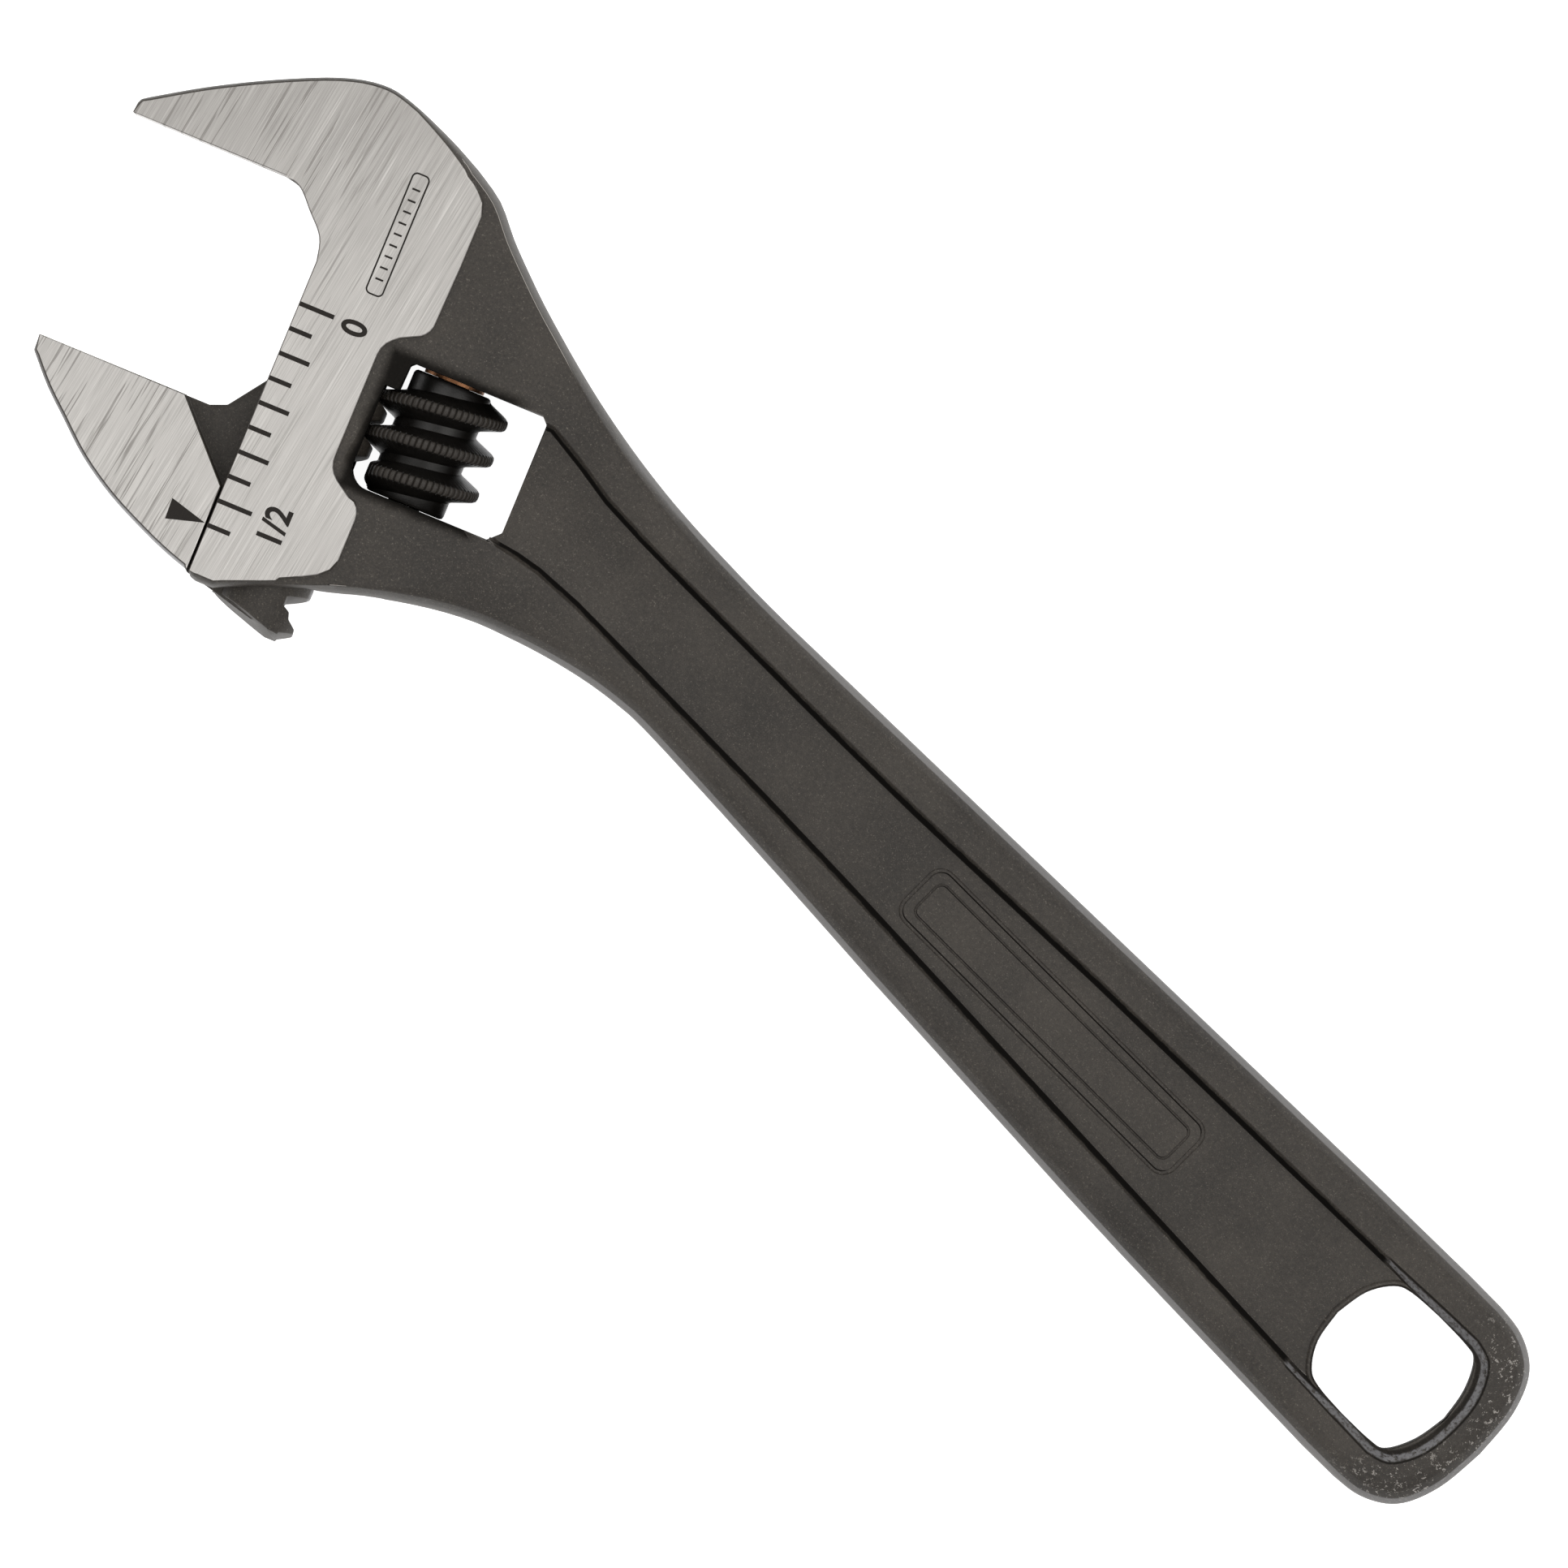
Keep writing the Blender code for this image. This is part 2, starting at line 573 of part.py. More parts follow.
def make_knurl(head_place, material):
    """The knurled adjusting screw: a hollow hub with one right-hand thread run out at both ends."""
    middle = KNURL_TOP - KNURL_LENGTH / 2
    c = math.cos(HEAD_ANGLE)
    s = math.sin(HEAD_ANGLE)
    place = (head_place[0] + KNURL_U * c - middle * s, head_place[1] + KNURL_U * s + middle * c, MID)
    top = KNURL_LENGTH / 2
    bore = PIN_R + SPIN_FIT
    pocket = SPRING_R + SPRING_WIRE_R + 0.13
    hub = [(bore, top), (bore, -top + SPRING_POCKET), (pocket, -top + SPRING_POCKET), (pocket, -top)]
    hub += [(HUB_R - 0.25, -top), (HUB_R, -top + 0.25), (HUB_R, top - 0.2), (HUB_R - 0.2, top)]
    knurl = turned("knurl", hub, (0.0, 0.0), place, HEAD_ANGLE)

    start = THREAD_START
    end = 2 * math.pi * (KNURL_TOP - THREAD_STOP - FRONT_CREST_V) / LEAD
    steps = int((end - start) / (2 * math.pi) * 48)
    limit = top - 0.03
    inner = HUB_R - HUB_SINK
    rings = []
    for i in range(steps + 1):
        a = start + (end - start) * i / steps
        v = FRONT_CREST_V - middle + LEAD * a / (2 * math.pi)
        run_out = min(1.0, (a - start + 0.05) / RUN_OUT, (end - a + 0.05) / RUN_OUT)
        crest = HUB_R + 0.08 + (CREST_R - HUB_R - 0.08) * math.sin(run_out * math.pi / 2)
        narrow = thread_half_width(crest)
        broad = thread_half_width(inner)
        ring = [(inner, -broad), (crest - CREST_BREAK, -narrow), (crest, -narrow + CREST_BREAK)]
        ring += [(crest, narrow - CREST_BREAK), (crest - CREST_BREAK, narrow), (inner, broad)]
        rings.append([(r * math.sin(a), min(max(v + w, -limit), limit), r * math.cos(a)) for r, w in ring])
    thread = rings_object("thread", rings, [range(6)], place, HEAD_ANGLE)
    boolean(knurl, thread, "UNION")
    finish(knurl, material)
    return knurl


def make_pin(head_place, material):
    profile = [(PIN_R - 0.15, PIN_END), (PIN_R, PIN_END + 0.15), (PIN_R, PIN_TOP - 0.35)]
    profile += [(PIN_R - 0.3, PIN_TOP - 0.05)]
    rings = []
    steps = 32
    for r, v in profile:
        angles = [2 * math.pi * k / steps for k in range(steps)]
        rings.append([(KNURL_U + r * math.sin(a), v, MID + r * math.cos(a)) for a in angles])
    pin = rings_object("knurl_pin", rings, [range(steps)], head_place, HEAD_ANGLE)
    finish(pin, material)
    return pin


def make_washer(head_place, material):
    high = WINDOW_V[1] - 0.03
    low = high - WASHER_THICK
    inner = PIN_R + SPIN_FIT
    profile = [(inner, low), (WASHER_R, low), (WASHER_R, high), (inner, high)]
    washer = turned("thrust_washer", profile, (KNURL_U, MID), head_place, HEAD_ANGLE)
    finish(washer, material)
    return washer


def make_spring(head_place, material):
    """The coil in the knurl's pocket that keeps the knurl up against its washer."""
    low = WINDOW_V[0] + 0.03 + SPRING_WIRE_R
    high = KNURL_TOP - KNURL_LENGTH + SPRING_POCKET - 0.05 - SPRING_WIRE_R
    steps = int(SPRING_TURNS * 20)
    rings = []
    for i in range(steps + 1):
        a = 2 * math.pi * SPRING_TURNS * i / steps
        v = low + (high - low) * i / steps
        ring = []
        for k in range(8):
            b = 2 * math.pi * k / 8
            r = SPRING_R + SPRING_WIRE_R * math.cos(b)
            w = v + SPRING_WIRE_R * math.sin(b)
            ring.append((KNURL_U + r * math.sin(a), w, MID + r * math.cos(a)))
        rings.append(ring)
    spring = rings_object("knurl_spring", rings, [range(8)], head_place, HEAD_ANGLE)
    finish(spring, material)
    return spring


def main():
    for obj in list(bpy.data.objects):
        bpy.data.objects.remove(obj, do_unlink=True)
    outline = np.array([p[:2] for p in body_outline()[0]])
    jaw_low = [head_to_handle(u, v) for u, v in ((-3.4, -22.8), (-1.6, -23.5), (0.0, -24.1))]
    left = outline[:, 0].min()
    low = min(outline[:, 1].min(), min(p[1] for p in jaw_low))
    centre = ((left + HANDLE_END) / 2, (low + outline[:, 1].max()) / 2)
    place = (-centre[0], -centre[1], 0.0)
    head_place = (HEAD_AT[0] - centre[0], HEAD_AT[1] - centre[1], 0.0)
    make_body(place, head_place, metal("blackened_forging", (0.045, 0.042, 0.039), 0.55))
    make_jaw(head_place, metal("ground_steel", (0.56, 0.55, 0.53), 0.35))
    make_knurl(head_place, metal("oiled_black_steel", (0.02, 0.02, 0.02), 0.3))
    make_pin(head_place, metal("pin_steel", (0.35, 0.34, 0.33), 0.3))
    make_spring(head_place, metal("spring_steel", (0.3, 0.3, 0.3), 0.35))
    make_washer(head_place, metal("copper_alloy", (0.72, 0.38, 0.2), 0.3))


main()
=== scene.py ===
"""A small adjustable wrench: blackened forged handle, bright ground head, grooved adjusting screw."""

import json
import math

import bmesh
import bpy
from mathutils import Matrix, Vector


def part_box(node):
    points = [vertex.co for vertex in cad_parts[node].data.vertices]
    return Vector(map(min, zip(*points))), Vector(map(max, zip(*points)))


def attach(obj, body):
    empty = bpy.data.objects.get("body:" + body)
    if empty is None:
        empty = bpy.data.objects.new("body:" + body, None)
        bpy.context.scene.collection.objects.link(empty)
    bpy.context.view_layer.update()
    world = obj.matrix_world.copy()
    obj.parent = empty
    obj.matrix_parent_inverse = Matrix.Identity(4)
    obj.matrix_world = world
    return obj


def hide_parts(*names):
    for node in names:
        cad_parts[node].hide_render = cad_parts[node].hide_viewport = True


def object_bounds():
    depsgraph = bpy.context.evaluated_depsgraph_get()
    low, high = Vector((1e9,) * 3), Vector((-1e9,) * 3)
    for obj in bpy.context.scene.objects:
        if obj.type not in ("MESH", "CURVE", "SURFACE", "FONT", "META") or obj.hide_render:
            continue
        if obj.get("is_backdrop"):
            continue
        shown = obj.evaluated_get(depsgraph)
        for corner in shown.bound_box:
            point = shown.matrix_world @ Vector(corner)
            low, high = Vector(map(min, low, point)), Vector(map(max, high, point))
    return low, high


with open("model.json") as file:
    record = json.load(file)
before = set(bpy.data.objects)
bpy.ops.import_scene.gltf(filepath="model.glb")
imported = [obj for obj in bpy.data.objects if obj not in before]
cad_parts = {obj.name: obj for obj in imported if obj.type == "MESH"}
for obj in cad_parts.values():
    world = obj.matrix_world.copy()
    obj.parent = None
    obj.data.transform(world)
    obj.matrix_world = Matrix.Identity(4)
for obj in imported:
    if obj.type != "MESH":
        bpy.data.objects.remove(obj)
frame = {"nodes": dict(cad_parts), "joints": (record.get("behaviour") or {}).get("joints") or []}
cad_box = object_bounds()

MM = 0.001
HEAD_TILT = math.radians(22.5)

# Where the head's own directions run: u across the jaws towards the handle, v up the screw's axis
SCREW_U = 10.31
SCREW_V = -11.45
U_WAY = Vector((math.cos(HEAD_TILT), math.sin(HEAD_TILT), 0.0))
V_WAY = Vector((-math.sin(HEAD_TILT), math.cos(HEAD_TILT), 0.0))
spin = next(j for j in frame["joints"] if j["name"] == "knurl_spin")
SCREW_AT = Vector(spin["pos_m"]) / MM
HEAD_AT = SCREW_AT - U_WAY * SCREW_U - V_WAY * SCREW_V
FACE_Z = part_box("body")[1].z / MM
MID_Z = FACE_Z / 2
HANDLE_AT = Vector((-29.1241, 1.9013, 0.0))
HANDLE_MID_Y = HANDLE_AT.y + 0.78
HOLE_X = 49.28  # the hanging hole's middle
HOLE_REACH = 5.0
PANEL_Z = 5.95
TAPER_X = (1.0, 16.0)  # where the panel's floor drops, along the handle
NECK_FLOOR = 2.93  # the panel's floor above the middle, at the neck and along the handle
PANEL_FLOOR = 1.95
OPENING = 14.2875
WINDOW_MID = (11.5, -11.4)  # the screw's window, as (u, v)
WINDOW_HALF = (4.9, 4.035)

# Roundings of the forging: its plain corners, the window's rim and the hole's
CORNER_R = 0.07
WINDOW_RIM_R = 0.62
HOLE_RIM_R = 0.30

# The scale on the head, in millimetres
ZERO_V = -6.70
DIVISION = 25.4 / 16
TICKS = 10
TICK_WIDTH = 0.28
INK_PROUD = 0.012
INK_DEEP = 0.03
FIGURES = (("0", 4.36, -7.30), ("1/2", 4.46, -20.78))
FIGURE_SIZE = 2.2
POINTER = [(-0.16, -20.93), (-2.52, -20.30), (-2.46, -21.60)]  # its tip, then its back corners

# The plain marks: etched up the head, raised in the handle's panel
HEAD_MARK_MID = (3.88, -0.70)
HEAD_MARK_HALF = (3.85, 0.52)
BARS = 9
BAR_PITCH = 0.72
BAR_HALF = (0.06, 0.25)
LINE_HALF = 0.05
PANEL_MARK_MID = (49.6, 0.98)
PANEL_MARK_HALF = (11.3, 1.95)
PANEL_MARK_STEP = (0.75, 0.70)  # how far the inner bead lies inside the outer one

# The adjusting screw
HUB_R = 2.47
CREST_R = 3.94
SCREW_LENGTH = 7.68
LEAD = 2.29
CREST_FLAT = 0.60
FLANK = math.radians(20)
LOWEST_CREST_V = -13.91
THREAD_START = -1.3
GROOVES = 62
GROOVE_DEPTH = 0.13


def head_point(u, v, z):
    """A point of the head, in metres."""
    p = HEAD_AT + U_WAY * u + V_WAY * v
    return Vector((p.x, p.y, z)) * MM


def handle_point(x, y, z):
    """A point of the handle, in metres."""
    return Vector((HANDLE_AT.x + x, HANDLE_AT.y + y, z)) * MM


# ---------------------------------------------------------------- finishes


class Tone:
    """One socket of a finish, so that sums on it read as sums."""

    def __init__(self, finish, socket):
        self.finish = finish
        self.socket = socket

    def maths(self, operation, *others):
        values = {i: v for i, v in enumerate(others)}
        return self.finish.node("Math", {"operation": operation}, values)

    def __add__(self, other):
        return self.maths("ADD", self, other)

    def __sub__(self, other):
        return self.maths("SUBTRACT", self, other)

    def __rsub__(self, other):
        return self.maths("SUBTRACT", other, self)

    def __mul__(self, other):
        return self.maths("MULTIPLY", self, other)

    def __truediv__(self, other):
        return self.maths("DIVIDE", self, other)

    def __pow__(self, other):
        return self.maths("POWER", self, other)

    __radd__ = __add__
    __rmul__ = __mul__

    def most(self, other):
        return self.maths("MAXIMUM", self, other)

    def least(self, other):
        return self.maths("MINIMUM", self, other)

    def size(self):
        return self.maths("ABSOLUTE", self)

    def rise(self, low, high):
        """0 below low, 1 above high and smooth between; a falling step if low is the larger."""
        settings = {"interpolation_type": "SMOOTHSTEP"}
        values = {0: self, 1: low, 2: high, 3: 0.0, 4: 1.0}
        return self.finish.node("MapRange", settings, values)


class Finish:
    """A material whose nodes are written as expressions."""

    def __init__(self, name):
        self.material = bpy.data.materials.new(name)
        self.material.use_nodes = True
        self.tree = self.material.node_tree
        self.shader = self.tree.nodes["Principled BSDF"]
        self.output = self.tree.nodes["Material Output"]

    def node(self, kind, settings=None, values=None, out=0):
        """Adds a node: its settings first, then the values or links of its sockets."""
        made = self.tree.nodes.new("ShaderNode" + kind)
        for key, value in (settings or {}).items():
            setattr(made, key, value)
        for key, value in (values or {}).items():
            self.feed(made.inputs[key], value)
        return Tone(self, made.outputs[out])

    def feed(self, socket, value):
        if isinstance(value, Tone):
            self.tree.links.new(value.socket, socket)
        elif isinstance(value, tuple) and len(value) == 3 and socket.type == "RGBA":
            socket.default_value = (*value, 1.0)
        else:
            socket.default_value = value

    def set(self, **values):
        for key, value in values.items():
            self.feed(self.shader.inputs[key.replace("_", " ")], value)

    def paint_shade(self, share):
        """Covers this share of the surface with a dead black that paints in shade."""
        shade_black = {"Base Color": (0.005, 0.0045, 0.004), "Roughness": 0.95, "Specular IOR Level": 0.06}
        black = self.node("BsdfPrincipled", None, shade_black)
        both = self.node("MixShader", None, {0: share, 1: Tone(self, self.shader.outputs[0]), 2: black})
        self.feed(self.output.inputs["Surface"], both)

    def place(self):
        """Where a point of the piece is at rest, in millimetres."""
        at = self.node("TexCoord", out="Object")
        return self.node("VectorMath", {"operation": "SCALE"}, {0: at, "Scale": 1 / MM})

    def along(self, place, way, start=0.0):
        """How far a place lies along a direction, from a start."""
        dot = self.node("VectorMath", {"operation": "DOT_PRODUCT"}, {0: place, 1: tuple(way)}, out="Value")
        return dot - start

    def grain(self, place, size, detail=2.0, rough=0.5):
        """Cloudy variation about 0.5, whose patches are about this many millimetres."""
        values = {"Vector": place, "Scale": 1 / size, "Detail": detail, "Roughness": rough}
        return self.node("TexNoise", None, values)

    def mix(self, share, first, second):
        values = {0: share, 6: first, 7: second}
        return self.node("Mix", {"data_type": "RGBA"}, values, out=2)

    def edges(self, reach):
        """1 on convex and concave corners, 0 on the flats: how far the surface turns within a reach."""
        round_way = self.node("Bevel", {"samples": 6}, {"Radius": reach * MM})
        true_way = self.node("NewGeometry", out="Normal")
        dot = self.node("VectorMath", {"operation": "DOT_PRODUCT"}, {0: round_way, 1: true_way}, out="Value")
        return 1 - dot

    def bump(self, height, depth, strength):
        """Height of 0 to 1 over a depth in millimetres."""
        values = {"Height": height, "Distance": depth * MM, "Strength": strength}
        return self.node("Bump", None, values)

    def split(self, vector):
        """The x, y and z of a vector."""
        parts = self.node("SeparateXYZ", None, {0: vector})
        return [Tone(self, parts.socket.node.outputs[i]) for i in range(3)]


GRIND_LEAN = math.radians(8.5)
ALONG_GRIND = U_WAY * math.sin(GRIND_LEAN) + V_WAY * math.cos(GRIND_LEAN)
ACROSS_GRIND = U_WAY * math.cos(GRIND_LEAN) - V_WAY * math.sin(GRIND_LEAN)


def ground_look(f, place):
    """Colour, roughness and height of a face ground in straight lines up the head, coarsest on the jaws."""
    across = f.along(place, ACROSS_GRIND)
    along = f.along(place, ALONG_GRIND)
    u = f.along(place, U_WAY, HEAD_AT.dot(U_WAY))
    v = f.along(place, V_WAY, HEAD_AT.dot(V_WAY))
    jaws = u.rise(5.0, -5.0)
    fine = f.node("CombineXYZ", None, {0: across / 0.05, 1: along / 6.0, 2: 3.1})
    scores = f.node("CombineXYZ", None, {0: across / 0.24, 1: along / 9.0, 2: 7.7})
    sweep = f.node("CombineXYZ", None, {0: across / 1.1, 1: along / 18.0, 2: 1.9})
    lines = f.grain(fine, 1.0, 3.0, 0.6)
    bands = f.grain(scores, 1.0, 2.0, 0.6)
    waves = f.grain(sweep, 1.0, 1.0, 0.5)
    deep = bands.rise(0.58, 0.63) * bands.rise(0.74, 0.66) * (0.25 + jaws * 0.75)
    bright = bands.rise(0.40, 0.28)
    # painted shade: the ground faces darken up the head towards the jaws
    painted_shade_up_jaw = (v - u * 0.5).rise(-14.0, 12.0)
    tone = 0.52 + (lines - 0.5) * 0.75 + (waves - 0.5) * 0.12 - deep * 0.42 + bright * 0.12 - painted_shade_up_jaw * 0.22
    colour = f.mix(tone.rise(-0.1, 1.1), (0.24, 0.23, 0.22), (0.745, 0.73, 0.71))
    rough = 0.31 + lines * 0.1 + deep * 0.12
    height = lines * 0.5 + bands * 0.5
    return colour, rough, height


def black_look(f, place, edges, painted_shade, worn, specked):
    """Colour, roughness and height of phosphate-blackened forged steel.

    The first mask, painted shade, is 1 in recesses and round rims where shade is painted in, and keeps the
    rubbing off there;
    worn is 1 where handling has rubbed it pale, and specked is 1 where knocks have broken through it in
    dots.
    """
    grit = f.grain(place, 0.085, 2.0, 0.6)
    coarse = f.grain(place, 0.21, 2.0, 0.55)
    pits = f.grain(place, 0.5, 3.0, 0.6)
    cloud = f.grain(place, 6.0, 3.0, 0.55)
    dots = grit.rise(0.58, 0.70) * coarse.rise(0.46, 0.60)
    knocks = (pits * 0.35 + coarse * 0.35 + grit * 0.3).rise(0.555, 0.60) * specked
    shade = cloud * 0.35 + grit * 0.40 + coarse * 0.25
    base = f.mix(shade.rise(0.30, 0.70), (0.0100, 0.0080, 0.0062), (0.0420, 0.0355, 0.0285))
    base = f.mix(dots * 0.75, base, (0.115, 0.103, 0.088))
    pale = (worn * (0.25 + pits * 1.3)).least(1.0)
    base = f.mix(pale * 0.85, base, (0.215, 0.215, 0.225))
    rub = (edges * 1.4 * f.grain(place, 0.6, 4.0, 0.7) * (1 - painted_shade) + knocks * 0.7).least(1.0)
    colour = f.mix(rub, base, (0.36, 0.34, 0.32))
    rough = 0.52 + pits * 0.14 - rub * 0.12 - pale * 0.12 + painted_shade * 0.15
    height = grit * 0.5 + coarse * 0.5 + pits * 0.5
    return colour, rough, height, (rub * 0.6 + pale * 0.35).least(1.0)


def forged_finish(name, is_ground, wear_and_shade):
    """Blackened forging with ground faces where is_ground says so, painted shade and rubbing where the wear
    and shade function says so.
    """
    f = Finish(name)
    place = f.place()
    way = f.node("NewGeometry", out="Normal")
    edges = f.edges(0.16)
    ground = is_ground(f, place, way)
    bright, shine, lines = ground_look(f, place)
    painted_shade, worn, specked = wear_and_shade(f, place, way)
    black, matt, grit, metal = black_look(f, place, edges, painted_shade, worn, specked)
    height = lines * 0.3 * ground + grit * (1 - ground)
    f.set(
        Base_Color=f.mix(ground, black, bright),
        Metallic=ground.most(metal),
        Roughness=matt + (shine - matt) * ground,
        Specular_IOR_Level=0.42,
        Normal=f.bump(height, 0.02, 0.9),
    )
    # painted shade: a dead black laid over the black finish in recesses and round rims, off the ground faces
    f.paint_shade(painted_shade * (1 - ground))
    return f.material


def flat_faces(f, place, way):
    """The two broad faces, not their broken edges."""
    z = f.along(place, (0, 0, 1))
    level = f.along(way, (0, 0, 1)).size().rise(0.90, 0.97)
    return z.rise(FACE_Z - 0.07, FACE_Z - 0.04).most(z.rise(0.07, 0.04)) * level


def body_ground(f, place, way):
    """The body's two broad faces on the head, and the face of its fixed jaw."""
    u = f.along(place, U_WAY, HEAD_AT.dot(U_WAY))
    v = f.along(place, V_WAY, HEAD_AT.dot(V_WAY))
    jaw = v.size().rise(0.06, 0.03) * u.rise(-2.6, -3.4)
    return flat_faces(f, place, way).most(jaw)


def jaw_ground(f, place, way):
    """The sliding jaw's two broad faces and its gripping face."""
    u = f.along(place, U_WAY, HEAD_AT.dot(U_WAY))
    v = f.along(place, V_WAY, HEAD_AT.dot(V_WAY) - OPENING)
    grip = v.size().rise(0.06, 0.03) * u.rise(-4.0, -4.3)
    return flat_faces(f, place, way).most(grip)


def facing(f, way, dx, dy):
    """How squarely a surface faces back along (dx, dy): 1 towards it, -1 away."""
    nx, ny, _ = f.split(way)
    reach = (dx * dx + dy * dy + 0.01) ** 0.5
    return 0 - (nx * dx + ny * dy) / reach


def body_wear_and_shade(f, place, way):
    """Painted shade at the foot of the panel's walls, in and round the window and along the hole's lips;
    rubbing on outer corners and by the hole.
    """
    x, y, z = f.split(place)
    past_hole = (x - HOLE_X).most(0.0)
    inward = facing(f, way, past_hole, y - HANDLE_MID_Y)
    u = f.along(place, U_WAY, HEAD_AT.dot(U_WAY))
    v = f.along(place, V_WAY, HEAD_AT.dot(V_WAY))
    cloudy = f.grain(place, 1.1, 3.0, 0.6) - 0.5
    beside_u = (u - WINDOW_MID[0]).size() - WINDOW_HALF[0]
    beside_v = (v - WINDOW_MID[1]).size() - WINDOW_HALF[1]
    outside = beside_u.most(beside_v) + cloudy * 0.5
    # painted shade: darkening over the window's walls and round its rim
    rim = outside.rise(0.95, 0.05) ** 1.6 * u.rise(15.6, 13.6)
    by_hole = x.rise(HOLE_X - 4.9, HOLE_X - 4.3)
    taper = (x - HANDLE_AT.x).rise(*TAPER_X)
    lift = (z - MID_Z).size() - (NECK_FLOOR - (NECK_FLOOR - PANEL_FLOOR) * taper)
    wall = inward.rise(0.18, 0.45)
    off_hole = 1 - by_hole
    in_panel = off_hole * u.rise(16.2, 16.6)
    # painted shade: a dark line at the foot of the panel's walls
    foot = wall * (lift - cloudy * 0.4).rise(0.66, 0.46) * in_panel
    # painted shade: thin dark lines along both edges of the hole's step
    inner_lip = wall * by_hole * lift.rise(0.34, 0.22)
    outer_lip = wall * by_hole * lift.rise(0.70, 0.82)
    # painted shade in the panel's inner corners
    shade_near_wall = f.edges(0.55) * lift.rise(0.10, 0.0) * lift.rise(-0.25, -0.1) * in_panel
    lip_shade = (inner_lip * 0.55).most(outer_lip * 0.8)
    # all these painted shades together, laid on as a dead black
    painted_shade = foot.most(rim * 0.92).most(lip_shade).most(shade_near_wall * 1.2).least(1.0)
    upright = f.along(way, (0, 0, 1)).size().rise(0.45, 0.15)
    outer = (0 - inward).rise(0.80, 1.0) * x.rise(-24.0, -20.0) * (0.5 - upright * 0.32)
    scraped = f.grain(place, 0.3, 3.0, 0.65)
    band = wall * by_hole * lift.rise(0.22, 0.34) * lift.rise(0.78, 0.66) * scraped.rise(0.30, 0.62)
    worn = outer.most(band * 1.2)
    dx, dy = x - HOLE_X, y - HANDLE_MID_Y
    out = (dx * dx + dy * dy) ** 0.5
    specked = out.rise(4.9, 6.6) * x.rise(HOLE_X + 0.5, HOLE_X + 4.5) * (1 - upright * 0.8)
    return painted_shade, worn, specked


def jaw_wear_and_shade(f, place, way):
    """Painted shade where the web meets the nose; rubbing on the nose's round back and the rack's tips."""
    u = f.along(place, U_WAY, HEAD_AT.dot(U_WAY))
    v = f.along(place, V_WAY, HEAD_AT.dot(V_WAY) - OPENING)
    across = 0 - f.along(way, U_WAY)
    down = 0 - f.along(way, V_WAY)
    level = (f.along(place, (0, 0, 1)) - MID_Z).size()
    web = level.rise(3.2, 3.0) * v.rise(-0.3, 0.3)
    # painted shade in the corner where the web meets the nose
    corner = f.edges(0.7) * web
    tips = u.rise(7.1, 7.3)
    worn = (down.rise(0.5, 1.0) * u.rise(0.2, -0.4)).most(tips).most(across.rise(0.6, 1.0) * 0.5)
    return (corner * 1.6).least(1.0), worn, tips * 0.5


def oiled_black(name):
    """Glossy black oxide, oily in the hollows and rubbed brown on the crest."""
    f = Finish(name)
    place = f.place()
    arm = f.node("VectorMath", {"operation": "SUBTRACT"}, {0: place, 1: tuple(SCREW_AT)})
    up = f.along(arm, V_WAY)
    square = f.node("VectorMath", {"operation": "DOT_PRODUCT"}, {0: arm, 1: arm}, out="Value")
    radius = (square - up * up) ** 0.5
    crest = radius.rise(CREST_R - 0.17, CREST_R - 0.04)
    edges = f.edges(0.10)
    smear = f.grain(place, 0.7, 4.0, 0.6)
    grit = f.grain(place, 0.09, 2.0, 0.5)
    rub = (edges * 1.2 * f.grain(place, 0.4, 3.0, 0.6)).least(0.7)
    base = f.mix(smear, (0.0018, 0.0016, 0.0014), (0.0085, 0.0075, 0.0065))
    base = f.mix(crest * (0.35 + smear * 0.5), base, (0.036, 0.030, 0.025))
    f.set(
        Base_Color=f.mix(rub, base, (0.10, 0.092, 0.084)),
        Metallic=rub * 0.4,
        Roughness=0.24 + smear * 0.22 + crest * 0.14,
        Specular_IOR_Level=0.32,
        Normal=f.bump(grit + smear, 0.012, 0.6),
    )
    return f.material


def turned_metal(name, dark, light, rough):
    """A drawn or turned metal with faint rings and stains."""
    f = Finish(name)
    place = f.place()
    turn = f.along(place, V_WAY)
    rings = f.grain(f.node("CombineXYZ", None, {0: turn / 0.05, 1: 0.0, 2: 0.0}), 1.0, 2.0, 0.5)
    stain = f.grain(place, 0.8, 4.0, 0.6)
    f.set(
        Base_Color=f.mix(stain * 0.6 + rings * 0.4, dark, light),
        Metallic=1.0,
        Roughness=rough + stain * 0.2,
        Normal=f.bump(rings, 0.006, 0.6),
    )
    return f.material


def etched(name):
    """The dark etch of the scale, a little uneven where the grinding shows through."""
    f = Finish(name)
    place = f.place()
    across = f.along(place, ACROSS_GRIND)
    along = f.along(place, ALONG_GRIND)
    fine = f.node("CombineXYZ", None, {0: across / 0.06, 1: along / 3.0, 2: 3.1})
    lines = f.grain(fine, 1.0, 3.0, 0.6)
    blotch = f.grain(place, 0.16, 3.0, 0.6)
    f.set(
        Base_Color=f.mix(lines * 0.5 + blotch * 0.5, (0.006, 0.005, 0.0045), (0.026, 0.022, 0.019)),
        Metallic=0.1,
        Roughness=0.6 + blotch * 0.2,
        Specular_IOR_Level=0.2,
        Normal=f.bump(lines, 0.006, 0.6),
    )
    return f.material


# ---------------------------------------------------------------- pieces


def piece_of(name, mesh, body, material, nodes=(), smooth=32):
    """An object in the row frame that rides on a body and stands for these nodes."""
    piece = bpy.data.objects.new(name, mesh)
    bpy.context.scene.collection.objects.link(piece)
    mesh.materials.clear()
    mesh.materials.append(material)
    mesh.shade_smooth()
    mesh.set_sharp_from_angle(angle=math.radians(smooth))
    for face in mesh.polygons:  # ground faces stay truly flat
        face.use_smooth = abs(face.normal.z) < 0.9999
    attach(piece, body)
    if nodes:
        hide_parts(*nodes)
    return piece


